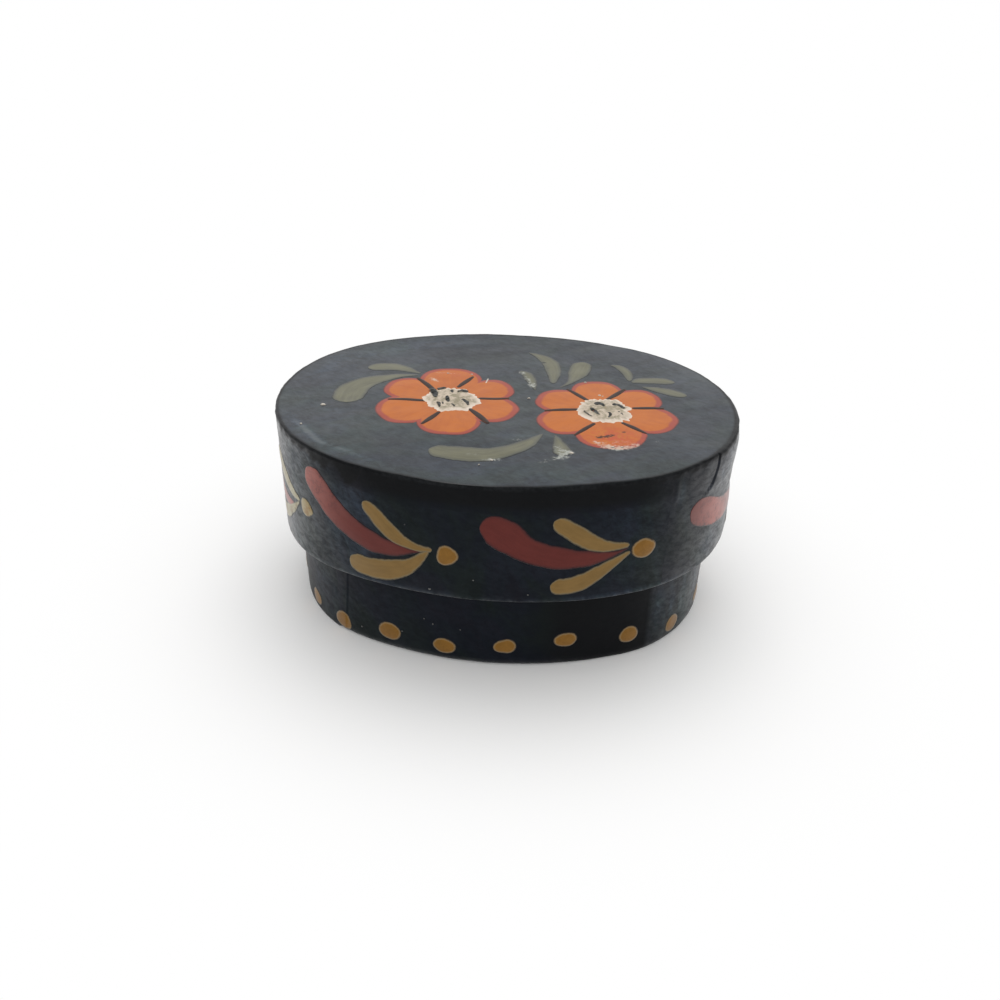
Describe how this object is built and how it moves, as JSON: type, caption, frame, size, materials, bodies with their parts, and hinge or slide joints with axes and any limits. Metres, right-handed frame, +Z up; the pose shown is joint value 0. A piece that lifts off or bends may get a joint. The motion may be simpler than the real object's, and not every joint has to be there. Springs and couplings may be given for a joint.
{
  "type": "oval lidded box",
  "caption": "Small oval box of bent wood with a lift-off lid that slips down over it, painted dark with flowers, leaves, strokes and dots.",
  "frame": {"origin": "middle of the underside, on the surface that the box stands on", "axes": "+X along the length, +Y to the back, +Z up, out of the box's mouth"},
  "size_m": [0.0761, 0.057, 0.0352],
  "materials": {
    "painted_wood": "satin blue-black oil paint over wood, with folk ornament in orange, red, ochre, olive and cream",
    "bare_wood": "bare pale wood, darkened with age"
  },
  "bodies": {
    "base": {"base_band": "painted_wood", "base_board": "painted_wood", "base_pegs": "bare_wood"},
    "lid": {"lid_band": "painted_wood", "lid_board": "painted_wood", "lid_pegs": "bare_wood"}
  },
  "joints": [
    {"name": "lid_lift", "type": "slide", "parent": "base", "child": "lid", "axis": [0, 0, 1], "range_m": [0, 0.024]}
  ]
}
